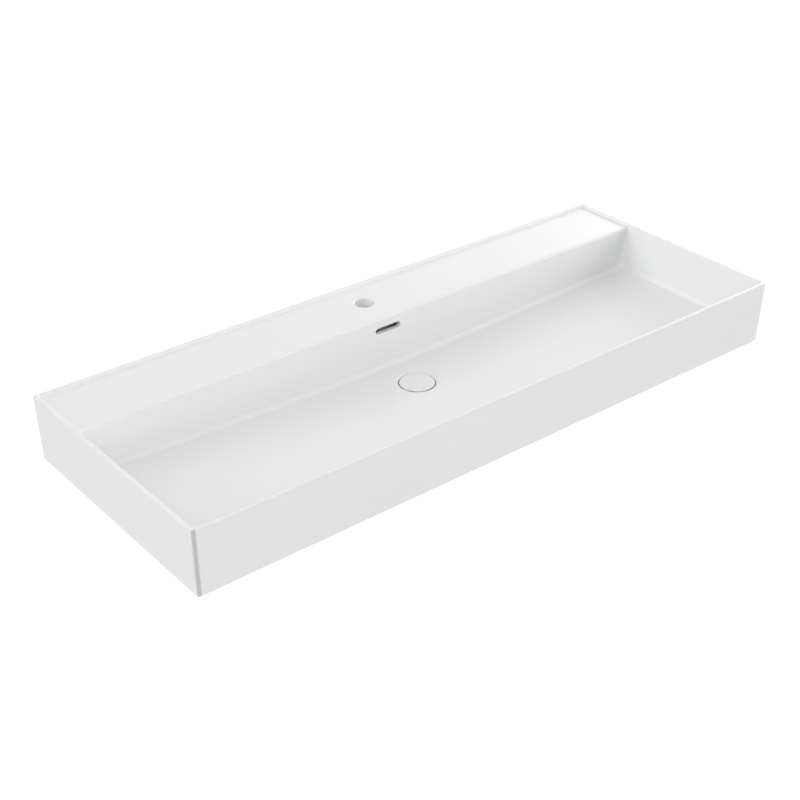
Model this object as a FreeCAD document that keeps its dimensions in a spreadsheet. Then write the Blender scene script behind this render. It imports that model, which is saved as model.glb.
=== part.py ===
import FreeCAD, Part
import math
import os
import Sketcher

# A wide rectangular washbasin in glazed ceramic with a push-open waste.
# X runs along the basin, Y from the front to the wall, Z up.
# The origin is midway between the two fixing holes, on the face that meets the wall.

doc = FreeCAD.newDocument("Washbasin")

# Driving dimensions, in millimetres and degrees
SIZES = {
    # outer form
    "basin_width": 1200,
    "basin_depth": 460,
    "basin_height": 116.5,
    "wall_lean": 1.65,
    "outer_corner": 5,
    "back_corner": 2,
    "rim_width": 5.5,
    "back_rim": 5.5,
    "rim_round": 2.3,
    "rim_inner_round": 2.3,
    "bottom_round": 1.5,
    # bowl and tap deck
    "deck_depth": 129,
    "deck_drop": 5,
    "deck_cove": 4,
    "bowl_draft": 4.2,
    "floor_height": 18,
    "floor_fall": 1.95,
    "valley_round": 600,
    "front_corner": 9,
    "rear_corner": 13,
    "foot_round": 9,
    # ceramic seen from below
    "floor_wall": 10,
    "bowl_wall": 10,
    "skirt_wall": 10,
    "deck_wall": 12,
    "rear_wall": 12,
    "side_block": 16,
    "foot_ledge": 4,
    "under_round": 6,
    "web_wall": 9,
    "web_near": 215,
    "web_far": 415,
    "web_bottom": 34,
    "web_arch": 40,
    "web_foot": 14,
    "web_round": 12,
    # tap hole and wall fixings
    "tap_hole": 35,
    "tap_from_wall": 64,
    "tap_round": 1.5,
    "tap_pad": 64,
    "tap_pad_rise": 4,
    "fixing_spacing": 280,
    "fixing_hole": 18,
    "fixing_height": 60,
    # overflow
    "slot_width": 54,
    "slot_height": 10.5,
    "slot_centre": 89,
    "slot_round": 1,
    "channel_bite": 3,
    "channel_depth": 10,
    "channel_cover": 3,
    "channel_roof": 8,
    "channel_height": 8,
    "channel_width": 32,
    "channel_wall": 8,
    "channel_round": 3,
    "duct_round": 5,
    # seat of the waste
    "waste_from_wall": 209,
    "recess_top": 72,
    "recess_lip": 65.4,
    "lip_depth": 2,
    "recess_foot": 64.4,
    "recess_round": 1.5,
    "lip_round": 1,
    "waste_hole": 46,
    "boss_height": 25,
    "boss_top": 90,
    "boss_foot": 80,
    # cap and dish
    "cap_diameter": 60.8,
    "cap_thick": 3.2,
    "cap_sunk": 0.7,
    "cap_round": 1,
    "dish_gap": 0.2,
    "dish_wall": 0.9,
    "dish_drop": 1,
    "dish_plate": 1,
    "dish_bevel": 0.6,
    "dish_lip_bevel": 0.25,
    "spigot_diameter": 34.8,
    "spigot_top": 2.6,
    "groove_diameter": 31.6,
    "groove_height": 3,
    "spigot_lip": 1.4,
    "boss_diameter": 11,
    "boss_length": 6.8,
    "seal_clearance": 0.2,
    "seal_gap": 0.3,
    "seal_bevel": 0.8,
    # waste body
    "cap_gap": 1.6,
    "flange_diameter": 63.4,
    "flange_edge": 2,
    "flange_fall": 0.6,
    "flange_bevel": 0.6,
    "throat_chamfer": 1.6,
    "outlet_diameter": 41.91,
    "tube_bore": 37.2,
    "tube_length": 72,
    "tube_bevel": 0.8,
    "relief_width": 1.5,
    "relief_depth": 0.8,
    "relief_gap": 0.5,
    "window_width": 12,
    "window_height": 10,
    "window_lead": 1,
    "hub_drop": 31.2,
    "hub_height": 8,
    "hub_diameter": 21,
    "arm_width": 4,
    # seals and nut
    "gasket": 1.2,
    "gasket_diameter": 62.4,
    "pipe_gap": 0.3,
    "lower_gasket": 4,
    "lower_gasket_spigot": 3,
    "lower_gasket_diameter": 60,
    "rubber_bevel": 1,
    "washer": 1.5,
    "washer_diameter": 58,
    "nut_height": 11,
    "nut_across_flats": 54,
    "nut_chamfer": 1,
    "thread_gap": 0.05,
    # push-open cartridge
    "press_travel": 1.2,
    "open_travel": 8.5,
    "stem_diameter": 6,
    "stem_gap": 0.1,
    "stem_grip": 9,
    "stem_bevel": 0.5,
    "cartridge_gap": 3,
    "cartridge_top": 2.5,
    "cartridge_diameter": 15.8,
    "cartridge_length": 39,
    "collar_height": 3,
    "collar_across_flats": 18,
    "barrel_diameter": 9.2,
    "barrel_gap": 0.1,
    "barrel_length": 22.5,
    "barrel_stop": 0.3,
    "barrel_hollow": 6.8,
    "barrel_head": 2.7,
    "index_lead": 7.5,
    "index_pitch": 77.6,
    "index_groove": 0.7,
    "index_slot": 4.6,
    "index_margin": 2.5,
    "ring_height": 3,
    "ring_gap": 0.1,
    "pin_diameter": 1.2,
    "pin_end_gap": 0.1,
    "lower_bore": 12.6,
    "plug_wall": 1.1,
    "plug_base": 3.2,
    "spring_wire": 0.7,
    "spring_diameter": 5.5,
    "spring_pitch": 3.6,
    "spring_gap": 0.05,
    # how far tools reach past what they cut, and how close counts as the same place
    "overrun": 20,
    "close": 1,
    "same": 0.01,
}

# How deep the overflow shaft's wall reaches into the bowl's wall
BITE_SHARE = 0.7

sheet = doc.addObject("Spreadsheet::Sheet", "sizes")
for row, (alias, number) in enumerate(SIZES.items(), start=1):
    sheet.set("A%d" % row, alias)
    sheet.set("B%d" % row, str(number))
    sheet.setAlias("B%d" % row, alias)
doc.recompute()


def expand(text):
    """The expression with each size's name turned into its address."""
    words = []
    word = ""
    for letter in text + " ":
        if letter.isalnum() or letter == "_":
            word += letter
            continue
        words.append("sizes." + word if word in SIZES else word)
        words.append(letter)
        word = ""
    return "".join(words).strip()


def value(text):
    """The number that an expression of sizes gives."""
    return float(sheet.evalExpression(expand(text)))


def origin_plane(body, role):
    for feature in body.Origin.OriginFeatures:
        if feature.Role == role:
            return feature


def new_sketch(body, role, name, offset=None):
    sketch = body.newObject("Sketcher::SketchObject", name)
    sketch.AttachmentSupport = [(origin_plane(body, role), "")]
    sketch.MapMode = "FlatFace"
    if offset:
        sketch.setExpression("AttachmentOffset.Base.z", expand(offset))
    return sketch


def place_point(sketch, geometry, end, x, y):
    for kind, axis, text in (("DistanceX", "x", x), ("DistanceY", "y", y)):
        index = sketch.addConstraint(Sketcher.Constraint(kind, geometry, end, value(text)))
        name = "p%d%s" % (geometry, axis)
        sketch.renameConstraint(index, name)
        sketch.setExpression("Constraints." + name, expand(text))


def corner_arc(before, corner, after, radius):
    """Tangent points and arc that round one corner of an outline."""
    back = (before - corner).normalize()
    ahead = (after - corner).normalize()
    half_angle = back.getAngle(ahead) / 2
    reach = radius / math.tan(half_angle)
    first = corner + back * reach
    last = corner + ahead * reach
    centre = corner + (back + ahead).normalize() * (radius / math.sin(half_angle))
    sides = [math.atan2(spot.y - centre.y, spot.x - centre.x) for spot in (first, last)]
    if (first - centre).cross(last - centre).z < 0:
        sides.reverse()
    if sides[1] < sides[0]:
        sides[1] += 2 * math.pi
    circle = Part.Circle(centre, FreeCAD.Vector(0, 0, 1), radius)
    return first, last, Part.ArcOfCircle(circle, sides[0], sides[1])


def outline(body, role, name, points, offset=None):
    """A closed sketch through points given as expressions; a third one rounds its corner."""
    sketch = new_sketch(body, role, name, offset)
    spots = [FreeCAD.Vector(value(point[0]), value(point[1]), 0) for point in points]
    count = len(points)
    ends = []
    arcs = {}
    for number, point in enumerate(points):
        if len(point) == 3:
            before, after = spots[number - 1], spots[(number + 1) % count]
            first, last, arc = corner_arc(before, spots[number], after, value(point[2]))
            arcs[number] = arc
            ends.append((first, last))
        else:
            ends.append((spots[number], spots[number]))
    for number in range(count):
        sketch.addGeometry(Part.LineSegment(ends[number][1], ends[(number + 1) % count][0]), False)
    for number, point in enumerate(points):
        line_in, line_out = (number - 1) % count, number
        if number not in arcs:
            sketch.addConstraint(Sketcher.Constraint("Coincident", line_in, 2, line_out, 1))
            place_point(sketch, line_out, 1, point[0], point[1])
            continue
        rounding = sketch.addGeometry(arcs[number], False)
        turned = sketch.Geometry[rounding].StartPoint.distanceToPoint(ends[number][0]) > value("same")
        enter, leave = (2, 1) if turned else (1, 2)
        sketch.addConstraint(Sketcher.Constraint("Tangent", line_in, 2, rounding, enter))
        sketch.addConstraint(Sketcher.Constraint("Tangent", rounding, leave, line_out, 1))
        index = sketch.addConstraint(Sketcher.Constraint("Radius", rounding, value(point[2])))
        sketch.renameConstraint(index, "r%d" % number)
        sketch.setExpression("Constraints.r%d" % number, expand(point[2]))
        corner = sketch.addGeometry(Part.Point(spots[number]), True)
        sketch.addConstraint(Sketcher.Constraint("PointOnObject", corner, 1, line_in))
        sketch.addConstraint(Sketcher.Constraint("PointOnObject", corner, 1, line_out))
        place_point(sketch, corner, 1, point[0], point[1])
    return sketch


def circles(body, role, name, places, diameter, offset=None):
    """A sketch of equal circles about places that are given as expressions."""
    sketch = new_sketch(body, role, name, offset)
    for number, (x, y) in enumerate(places):
        centre = FreeCAD.Vector(value(x), value(y), 0)
        sketch.addGeometry(Part.Circle(centre, FreeCAD.Vector(0, 0, 1), value(diameter) / 2), False)
        place_point(sketch, number, 3, x, y)
        index = sketch.addConstraint(Sketcher.Constraint("Diameter", number, value(diameter)))
        sketch.renameConstraint(index, "d%d" % number)
        sketch.setExpression("Constraints.d%d" % number, expand(diameter))
    return sketch


def pad(body, name, sketch, length, both_ways=False, reverse=False):
    feature = body.newObject("PartDesign::Pad", name)
    feature.Profile = sketch
    feature.setExpression("Length", expand(length))
    feature.SideType = "Symmetric" if both_ways else "One side"
    feature.Reversed = reverse
    doc.recompute()
    return feature


def pocket(body, name, sketch, length, both_ways=False, reverse=False):
    before = body.Tip.Shape.Volume
    feature = body.newObject("PartDesign::Pocket", name)
    feature.Profile = sketch
    feature.setExpression("Length", expand(length))
    feature.SideType = "Symmetric" if both_ways else "One side"
    feature.Reversed = reverse
    doc.recompute()
    if feature.Shape.Volume >= before:
        raise RuntimeError(name + " cuts nothing")
    return feature


def fillet(body, name, radius, test):
    """Round the edges of a body whose mid-point passes the test."""
    base = body.Tip
    names = []
    for number, edge in enumerate(base.Shape.Edges, start=1):
        middle = edge.valueAt((edge.FirstParameter + edge.LastParameter) / 2)
        if test(edge, middle):
            names.append("Edge%d" % number)
    feature = body.newObject("PartDesign::Fillet", name)
    feature.Base = (base, names)
    feature.setExpression("Radius", expand(radius))
    doc.recompute()
    return feature


def new_body(name):
    return doc.addObject("PartDesign::Body", name)


def near(number, text):
    return abs(number - value(text)) < value("same")


def upright(edge):
    """An edge that climbs more than it runs."""
    ends = [vertex.Point for vertex in edge.Vertexes]
    span = ends[-1] - ends[0]
    return abs(span.z) > abs(span.x) + abs(span.y)


def level(edge, text):
    """An edge that lies at one height."""
    return all(near(vertex.Z, text) for vertex in edge.Vertexes)


# Heights and depths that several pieces share
BOTTOM = "(-fixing_height)"
RIM = "(basin_height - fixing_height)"
DECK = "(basin_height - deck_drop - fixing_height)"
FLOOR = "(floor_height - fixing_height)"
LOW = "(-fixing_height - overrun)"
FRONT = "(-basin_depth)"
HALF = "(basin_width / 2)"
LEAN = "(basin_height * tan(wall_lean * 1deg))"
INNER_HALF = "(basin_width / 2 - rim_width)"
SKIRT_HALF = "(" + HALF + " - " + LEAN + " - skirt_wall)"
BOWL_SLOPE = "tan(bowl_draft * 1deg)"
FALL = "tan(floor_fall * 1deg)"
DECK_UNDER = "(" + DECK + " - deck_wall)"
WALL_BACK = "(deck_depth - bowl_wall)"
CHANNEL_FRONT = "(" + WALL_BACK + " + channel_bite)"
DISH_BOTTOM = "(-cap_sunk - cap_thick - dish_plate)"
FLANGE_TOP = "(" + DISH_BOTTOM + " - cap_gap)"
RECESS = "(cap_gap + cap_sunk + cap_thick + dish_plate + flange_edge + gasket)"
CHANNEL_TOP = "(" + FLOOR + " - " + RECESS + " - channel_roof)"
CHANNEL_FLOOR = "(" + CHANNEL_TOP + " - channel_height)"
BOSS_BOTTOM = "(" + FLOOR + " - " + RECESS + " - boss_height)"


def minus(text):
    return "-(" + text + ")"


def plus(*texts):
    return "(" + " + ".join(texts) + ")"


def less(first, *others):
    return "(" + " - ".join((first,) + others) + ")"


def outer_block():
    body = new_body("outer_block")
    sides = outline(body, "XZ_Plane", "outer_ends", [
        (minus(HALF), RIM), (minus(less(HALF, LEAN)), BOTTOM), (less(HALF, LEAN), BOTTOM), (HALF, RIM)])
    pad(body, "outer_pad", sides, "basin_depth")
    front = outline(body, "YZ_Plane", "outer_front", [
        (FRONT, RIM), (plus(FRONT, LEAN), BOTTOM), (plus(FRONT, LEAN), LOW),
        (less(FRONT, "overrun"), LOW), (less(FRONT, "overrun"), RIM)])
    pocket(body, "front_lean", front, "basin_width + overrun", both_ways=True)
    fillet(body, "outer_corners", "outer_corner",
           lambda edge, at: upright(edge) and at.y < value(FRONT + " / 2"))
    fillet(body, "outer_rear_corners", "back_corner",
           lambda edge, at: upright(edge) and near(at.y, "0"))
    fillet(body, "outer_rim", "rim_round", lambda edge, at: level(edge, RIM))
    fillet(body, "outer_foot", "bottom_round", lambda edge, at: level(edge, BOTTOM))
    return body


def bowl_void():
    """What the bowl and the space over the tap deck take out of the block."""
    body = new_body("bowl_void")
    top = plus(RIM, "overrun")
    low = less(FLOOR, "overrun")
    end_height = "(floor_height + " + INNER_HALF + " * " + FALL + ")"
    side_top = INNER_HALF + " + overrun * " + BOWL_SLOPE
    side_foot = INNER_HALF + " - (basin_height - " + end_height + ") * " + BOWL_SLOPE
    end_floor = less(end_height, "fixing_height")
    section = outline(body, "XZ_Plane", "bowl_section", [
        (minus(side_top), top), (minus(side_foot), end_floor), ("0", FLOOR, "valley_round"),
        (side_foot, end_floor), (side_top, top)])
    pad(body, "bowl_pad", section, "basin_depth")
    front_top = FRONT + " + rim_width - overrun * " + BOWL_SLOPE
    front_foot = FRONT + " + rim_width + (basin_height - floor_height + overrun) * " + BOWL_SLOPE
    front = outline(body, "YZ_Plane", "bowl_front", [
        (front_top, top), (front_foot, low), (less(FRONT, "overrun"), low), (less(FRONT, "overrun"), top)])
    pocket(body, "bowl_front_cut", front, "basin_width + overrun", both_ways=True)
    wall_foot = "-deck_depth - (" + DECK + " - " + low + ") * " + BOWL_SLOPE
    deck = outline(body, "YZ_Plane", "deck_profile", [
        ("-deck_depth", DECK), ("-back_rim", DECK), ("-back_rim", top), ("overrun", top),
        ("overrun", low), (wall_foot, low)])
    pocket(body, "deck_cut", deck, "basin_width + overrun", both_ways=True)
    fillet(body, "front_corners", "front_corner",
           lambda edge, at: upright(edge) and at.y < value("-basin_depth + rim_width + overrun"))
    rear = blend("rear_corners", body, lambda edge, at: rear_radii(edge, at))
    return blend("bowl_foot", rear, lambda edge, at: foot_radii(edge, at))


def rear_radii(edge, at):
    """The corner of bowl and deck: tight at the deck and wide at the floor."""
    ends = [vertex.Point for vertex in edge.Vertexes]
    beside = abs(at.x) > value(SKIRT_HALF + " - overrun")
    along = abs(at.x) < value("overrun")
    deck, floor = value("deck_cove"), value("rear_corner")
    if along and near(at.z, DECK):
        return deck, deck
    if not beside or at.y < value("-deck_depth - overrun") or at.z > value(RIM + " + overrun - deck_cove"):
        return None
    if near(ends[0].z, DECK) and near(ends[1].z, DECK):
        return deck, deck
    if at.z > value(DECK):
        return deck, deck
    return (floor, deck) if edge.valueAt(edge.FirstParameter).z < at.z else (deck, floor)


def foot_radii(edge, at):
    """The edge between the walls and the floor, all the way round."""
    if at.z > value(FLOOR + " + floor_wall + " + INNER_HALF + " * " + FALL):
        return None
    across = abs(edge.Vertexes[0].Point.y - edge.Vertexes[1].Point.y)
    if across > value("basin_depth / 2") and abs(at.x) < value("basin_width / 4"):
        return None
    return value("foot_round"), value("foot_round")


def tray_void():
    """The open tray under the bowl's floor."""
    body = new_body("tray_void")
    valley = less(FLOOR, "floor_wall")
    end = plus(valley, SKIRT_HALF + " * " + FALL)
    section = outline(body, "XZ_Plane", "tray_section", [
        (minus(SKIRT_HALF), LOW), (minus(SKIRT_HALF), end), ("0", valley, "valley_round"),
        (SKIRT_HALF, end), (SKIRT_HALF, LOW)], offset="rear_wall + foot_ledge")
    pad(body, "tray_pad", section, "basin_depth - rear_wall - foot_ledge - skirt_wall - " + LEAN)
    fillet(body, "tray_corners", "under_round", lambda edge, at: upright(edge))
    fillet(body, "tray_roof", "under_round",
           lambda edge, at: at.z > value(BOTTOM) and not upright(edge) and not deep(edge, at))
    return body


def deep(edge, at):
    """An edge that runs from front to back near the middle of the basin."""
    ends = [vertex.Point for vertex in edge.Vertexes]
    return abs(at.x) < value("basin_width / 4") and abs(ends[0].y - ends[1].y) > value("basin_depth / 2")


def deck_void():
    """The hollow under the tap deck, open below for the tap's nut and hoses."""
    body = new_body("deck_void")
    section = outline(body, "YZ_Plane", "deck_hollow", [
        ("-rear_wall", LOW), ("-rear_wall", DECK_UNDER), (minus(WALL_BACK), DECK_UNDER),
        (minus(WALL_BACK) + " - (" + DECK_UNDER + " - " + LOW + ") * " + BOWL_SLOPE, LOW)])
    pad(body, "deck_hollow_pad", section, "2 * (" + HALF + " - " + LEAN + " - side_block)", both_ways=True)
    fillet(body, "deck_hollow_corners", "under_round", lambda edge, at: upright(edge))
    fillet(body, "deck_hollow_roof", "under_round", lambda edge, at: level(edge, DECK_UNDER))
    return body


def web(name, place):
    """A rib that ties the bowl's back wall to the rear wall under the deck."""
    body = new_body(name)
    foot = plus(BOTTOM, "web_bottom")
    arch = plus(foot, "web_arch")
    front = minus(WALL_BACK) + " - bowl_wall / 2"
    lean = "(" + DECK_UNDER + " - " + foot + ") * " + BOWL_SLOPE
    back = "-rear_wall / 2"
    section = outline(body, "YZ_Plane", name + "_section", [
        (less(front, lean), foot), (plus(minus(WALL_BACK), "web_foot"), foot),
        (plus(minus(WALL_BACK), "web_foot"), arch, "web_round"),
        ("-rear_wall - web_foot", arch, "web_round"), ("-rear_wall - web_foot", foot), (back, foot),
        (back, plus(DECK_UNDER, "deck_wall / 2")), (front, plus(DECK_UNDER, "deck_wall / 2"))],
        offset=place)
    pad(body, name + "_pad", section, "web_wall", both_ways=True)
    return body


def primitive(kind, name, place, **sizes):
    """A plain solid with its sizes and its place bound to expressions."""
    item = doc.addObject(kind, name)
    for key, text in sizes.items():
        item.setExpression(key, expand(text))
    for axis, text in zip("xyz", place):
        item.setExpression("Placement.Base." + axis, expand(text))
    return item


def cylinder(name, place, diameter, height):
    return primitive("Part::Cylinder", name, place, Radius="(" + diameter + ") / 2", Height=height)


def box(name, low, size):
    return primitive("Part::Box", name, low, Length=size[0], Width=size[1], Height=size[2])


def cone(name, place, foot, top, height):
    return primitive("Part::Cone", name, place, Radius1="(" + foot + ") / 2",
                     Radius2="(" + top + ") / 2", Height=height)


def join(name, items):
    result = doc.addObject("Part::MultiFuse", name)
    result.Shapes = items
    result.Refine = True
    doc.recompute()
    return result


def cut(name, base, tool):
    result = doc.addObject("Part::Cut", name)
    result.Base = base
    result.Tool = tool
    result.Refine = True
    doc.recompute()
    return result


def blend(name, base, radii):
    """Rounded edges whose radii may change from end to end."""
    rows = []
    for number, edge in enumerate(base.Shape.Edges, start=1):
        middle = edge.valueAt((edge.FirstParameter + edge.LastParameter) / 2)
        pair = radii(edge, middle)
        if pair:
            rows.append((number,) + pair)
    result = doc.addObject("Part::Fillet", name)
    result.Base = base
    result.Edges = rows
    doc.recompute()
    return result


def both(radius):
    return value(radius), value(radius)


def overflow_duct():
    """The ceramic round the overflow: a shaft behind the bowl and a sled under its floor."""
    back = less(CHANNEL_FRONT, "channel_depth", "channel_wall")
    low = less(CHANNEL_FLOOR, "channel_wall")
    bite = "(" + WALL_BACK + " + bowl_wall * %g)" % BITE_SHARE
    shaft_half = "(slot_width / 2 + channel_wall)"
    shaft = box("overflow_shaft", (minus(shaft_half), minus(bite), low),
                ("2 * " + shaft_half, less(bite, back), less(plus(DECK_UNDER, "deck_wall / 2"), low)))
    sled_half = "(channel_width / 2 + channel_wall)"
    sled = box("overflow_sled", (minus(sled_half), "-waste_from_wall", low),
               ("2 * " + sled_half, less("waste_from_wall", back), less(FLOOR, "floor_wall / 2", low)))
    doc.recompute()
    shaft = blend("overflow_shaft_round", shaft, lambda edge, at:
                  both("duct_round") if near(at.y, minus(back)) and at.z < value(DECK_UNDER) else None)
    sled = blend("overflow_sled_round", sled, lambda edge, at:
                 both("duct_round") if near(at.z, low) and abs(at.x) > value("close") else None)
    return [shaft, sled]


def waste_boss():
    """The thick ring of ceramic that the waste is clamped in."""
    return cone("waste_boss", ("0", "-waste_from_wall", BOSS_BOTTOM), "boss_foot", "boss_top",
                less(FLOOR, "floor_wall / 2", BOSS_BOTTOM))


def tap_pad():
    """The thicker place under the deck where the tap's nut bears."""
    return cylinder("tap_pad", ("0", "-tap_from_wall", less(DECK_UNDER, "tap_pad_rise")), "tap_pad",
                    "tap_pad_rise + deck_wall / 2")


def overflow_voids():
    """The slot in the bowl's back wall and the channel from it to the waste hole."""
    slot_z = "(slot_centre - fixing_height)"
    straight = "(slot_width / 2 - slot_height / 2)"
    reach = "(bowl_wall + overrun / 2 + channel_depth / 2)"
    front = minus(plus(WALL_BACK, "bowl_wall", "overrun / 2"))
    middle = box("slot_middle", (minus(straight), front, less(slot_z, "slot_height / 2")),
                 ("2 * " + straight, reach, "slot_height"))
    ends = []
    for name, place in (("slot_left", minus(straight)), ("slot_right", straight)):
        end = cylinder(name, (place, plus(front, reach), slot_z), "slot_height", reach)
        end.Placement.Rotation = FreeCAD.Rotation(FreeCAD.Vector(1, 0, 0), 90)
        ends.append(end)
    top = less(DECK_UNDER, "channel_cover")
    down = box("channel_down", ("-slot_width / 2", minus(CHANNEL_FRONT), CHANNEL_FLOOR),
               ("slot_width", "channel_depth", less(top, CHANNEL_FLOOR)))
    along = box("channel_along", ("-channel_width / 2", "-waste_from_wall", CHANNEL_FLOOR),
                ("channel_width", less("waste_from_wall", less(CHANNEL_FRONT, "channel_depth / 2")),
                 "channel_height"))
    doc.recompute()
    down = blend("channel_down_round", down, lambda edge, at: both("channel_round"))
    along = blend("channel_along_round", along, lambda edge, at:
                  both("channel_round") if abs(at.x) > value("close") and not upright(edge) else None)
    return [middle] + ends + [down, along]


def waste_voids():
    """The recess in the floor, the dish round it and the hole under it."""
    seat = cone("waste_seat", ("0", "-waste_from_wall", less(FLOOR, RECESS)), "recess_foot",
                "recess_lip", less(RECESS, "lip_depth"))
    spread = "((recess_top - recess_lip) / lip_depth)"
    dish = cone("waste_dish", ("0", "-waste_from_wall", less(FLOOR, "lip_depth")), "recess_lip",
                "recess_top + overrun * " + spread, "lip_depth + overrun")
    hole = cylinder("waste_hole", ("0", "-waste_from_wall", LOW), "waste_hole",
                    less(FLOOR, LOW))
    return [seat, dish, hole]


def basin():
    """The one fired piece of ceramic."""
    shell = cut("bowl_cut", outer_block(), bowl_void())
    shell = cut("tray_cut", shell, tray_void())
    shell = cut("deck_hollow_cut", shell, deck_void())
    webs = []
    for name, place in (("web_1", "web_near"), ("web_2", "web_far"), ("web_3", "-web_near"),
                        ("web_4", "-web_far")):
        webs.append(web(name, place))
    shell = join("ceramic", [shell, waste_boss(), tap_pad()] + overflow_duct() + webs)
    holes = waste_voids() + overflow_voids()
    holes.append(cylinder("tap_hole", ("0", "-tap_from_wall", less(DECK_UNDER, "overrun")), "tap_hole",
                          plus("deck_wall", "overrun", "overrun")))
    for name, place in (("fixing_left", "-fixing_spacing / 2"), ("fixing_right", "fixing_spacing / 2")):
        hole = cylinder(name, (place, "overrun", "0"), "fixing_hole", "rear_wall + 2 * overrun")
        hole.Placement.Rotation = FreeCAD.Rotation(FreeCAD.Vector(1, 0, 0), 90)
        holes.append(hole)
    shell = cut("basin_holes", shell, join("basin_hole_tools", holes))
    shell = blend("rim_inner_edge", shell, rim_inner_radii)
    shell = blend("tap_hole_edge", shell, lambda edge, at: both("tap_round")
                  if level(edge, DECK) and aside(at, "tap_from_wall") < value("tap_hole") else None)
    shell = blend("recess_edges", shell, recess_radii)
    return blend("basin", shell, slot_radii)


def rim_inner_radii(edge, at):
    inside = abs(at.x) < value(INNER_HALF + " + close") and at.y > value(FRONT + " + rim_width - close")
    if level(edge, RIM) and inside and at.y < value("close - back_rim"):
        return both("rim_inner_round")
    return None


def aside(at, from_wall):
    """How far a point lies from an upright axis on the basin's centre line."""
    return math.hypot(at.x, at.y + value(from_wall))


def recess_radii(edge, at):
    """The rim of the dish in the floor, and the lip between the dish and the seat."""
    reaches = [aside(vertex.Point, "waste_from_wall") for vertex in edge.Vertexes]
    if level(edge, less(FLOOR, "lip_depth")) and all(near(reach, "recess_lip / 2") for reach in reaches):
        return both("lip_round")
    widest = value("recess_top / 2 + 2 * lip_depth")
    if at.z > value(FLOOR) and all(value("recess_lip / 2") < reach < widest for reach in reaches):
        return both("recess_round")
    return None


def slot_radii(edge, at):
    """The mouth of the overflow slot in the bowl's back wall."""
    slot_z = value("slot_centre - fixing_height")
    in_wall = value("-deck_depth - bowl_wall") < at.y < value("-deck_depth")
    ends = [vertex.Point for vertex in edge.Vertexes]
    flat = max(end.y for end in ends) - min(end.y for end in ends) < value("slot_height") / 2
    tall = abs(at.z - slot_z) < value("slot_height")
    if in_wall and flat and tall and abs(at.x) < value("slot_width"):
        return both("slot_round")
    return None


# The push-open waste, turned about the upright axis through the waste hole.
# Its pieces are drawn with their zero height at the lowest line of the bowl's floor.
CAP_UNDER = "(-cap_sunk - cap_thick)"
GROOVE_TOP = "(" + DISH_BOTTOM + " - spigot_top)"
GROOVE_FOOT = "(" + GROOVE_TOP + " - groove_height)"
SPIGOT_FOOT = "(" + GROOVE_FOOT + " - spigot_lip)"
STEM_SOCKET = "(" + SPIGOT_FOOT + " - boss_length)"
FLANGE_FOOT = "(" + FLANGE_TOP + " - flange_edge)"
SEAT_UNDER = "(-" + RECESS + " - boss_height)"
NUT_FOOT = "(" + SEAT_UNDER + " - lower_gasket - washer - nut_height)"
HUB_TOP = "(" + FLANGE_TOP + " - hub_drop)"
CARTRIDGE_TOP = "(" + STEM_SOCKET + " - cartridge_gap)"
CARTRIDGE_FOOT = "(" + CARTRIDGE_TOP + " - cartridge_length)"
BARREL_TOP = "(" + CARTRIDGE_TOP + " - cartridge_top - barrel_stop - open_travel)"
BARREL_FOOT = "(" + BARREL_TOP + " - barrel_length)"
PIN = "(" + BARREL_TOP + " - index_lead)"
RING_TOP = "(" + PIN + " + ring_height / 2)"
RING_FOOT = "(" + PIN + " - ring_height / 2)"
PLUG_TOP = "(" + CARTRIDGE_FOOT + " + plug_base)"
PIPE = "(outlet_diameter / 2)"


def on_waste_axis(body):
    body.setExpression("Placement.Base.y", expand("-waste_from_wall"))
    body.setExpression("Placement.Base.z", expand(FLOOR))
    doc.recompute()
    return body


def revolve(body, name, points):
    sketch = outline(body, "XZ_Plane", name + "_section", points)
    feature = body.newObject("PartDesign::Revolution", name)
    feature.Profile = sketch
    feature.ReferenceAxis = (sketch, ["V_Axis"])
    feature.Angle = 360
    doc.recompute()
    return feature


def groove(body, name, points):
    before = body.Tip.Shape.Volume
    sketch = outline(body, "XZ_Plane", name + "_section", points)
    feature = body.newObject("PartDesign::Groove", name)
    feature.Profile = sketch
    feature.ReferenceAxis = (sketch, ["V_Axis"])
    feature.Angle = 360
    doc.recompute()
    if feature.Shape.Volume >= before:
        raise RuntimeError(name + " cuts nothing")
    return feature


def turned(name, points):
    body = new_body(name)
    revolve(body, name + "_turning", points)
    return on_waste_axis(body)


def polygon(sides, across_flats):
    """Corners of a regular polygon as expressions."""
    turn = 360 / sides
    radius = across_flats + " / 2 / cos(%gdeg)" % (turn / 2)
    return [("%s * cos(%gdeg)" % (radius, turn * number), "%s * sin(%gdeg)" % (radius, turn * number))
            for number in range(sides)]


def waste_cap():
    edge = "cap_diameter / 2"
    return turned("waste_cap", [
        ("0", CAP_UNDER), (edge, CAP_UNDER), (edge, "-cap_sunk", "cap_round"), ("0", "-cap_sunk")])


def cap_dish():
    inside = "(cap_diameter / 2 + dish_gap)"
    outside = plus(inside, "dish_wall")
    rim = "(-cap_sunk - dish_drop)"
    socket = "(stem_diameter / 2 + thread_gap)"
    depth = plus(STEM_SOCKET, "stem_grip")
    return turned("cap_dish", [
        ("0", CAP_UNDER), (inside, CAP_UNDER), (inside, rim), (less(outside, "dish_lip_bevel"), rim),
        (outside, less(rim, "dish_lip_bevel")), (outside, plus(DISH_BOTTOM, "dish_bevel")),
        (less(outside, "dish_bevel"), DISH_BOTTOM), ("spigot_diameter / 2", DISH_BOTTOM),
        ("spigot_diameter / 2", GROOVE_TOP), ("groove_diameter / 2", GROOVE_TOP),
        ("groove_diameter / 2", GROOVE_FOOT), ("spigot_diameter / 2", GROOVE_FOOT),
        ("spigot_diameter / 2", SPIGOT_FOOT), ("boss_diameter / 2", SPIGOT_FOOT),
        ("boss_diameter / 2", STEM_SOCKET), (socket, STEM_SOCKET), (socket, depth), ("0", depth)])


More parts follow.
